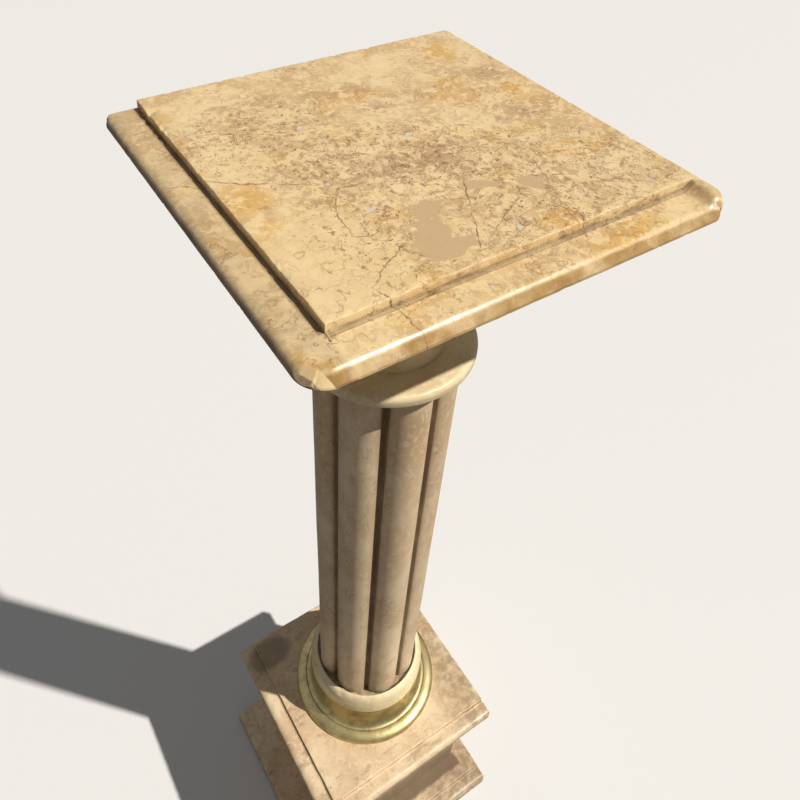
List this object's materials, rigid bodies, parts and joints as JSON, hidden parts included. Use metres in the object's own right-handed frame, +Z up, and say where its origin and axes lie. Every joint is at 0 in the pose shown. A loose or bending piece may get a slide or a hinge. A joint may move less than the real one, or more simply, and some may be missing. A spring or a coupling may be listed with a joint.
{
  "type": "marble pedestal column",
  "caption": "Marble pedestal column: moulded square top plate, reeded shaft between a thin disc and a ring, flared brass collar and a square plinth.",
  "frame": {"origin": "on the floor, on the shaft's axis, at the middle of the foot slab's raised field", "axes": "+Z up along the shaft; -X and -Y face the two moulded show sides, +X and +Y the two flush sides"},
  "size_m": [0.2925, 0.2925, 1.065],
  "materials": {
    "marble": "polished",
    "marble_top": "polished",
    "brass": "satin, tarnished"
  },
  "bodies": {
    "root": {"foot_slab": "marble", "plinth_block": "marble", "plinth_slab": "marble", "brass_collar": "brass", "base_ring": "marble", "shaft": "marble", "capital_disc": "marble", "neck": "marble", "top_plate": "marble_top"}
  },
  "joints": []
}
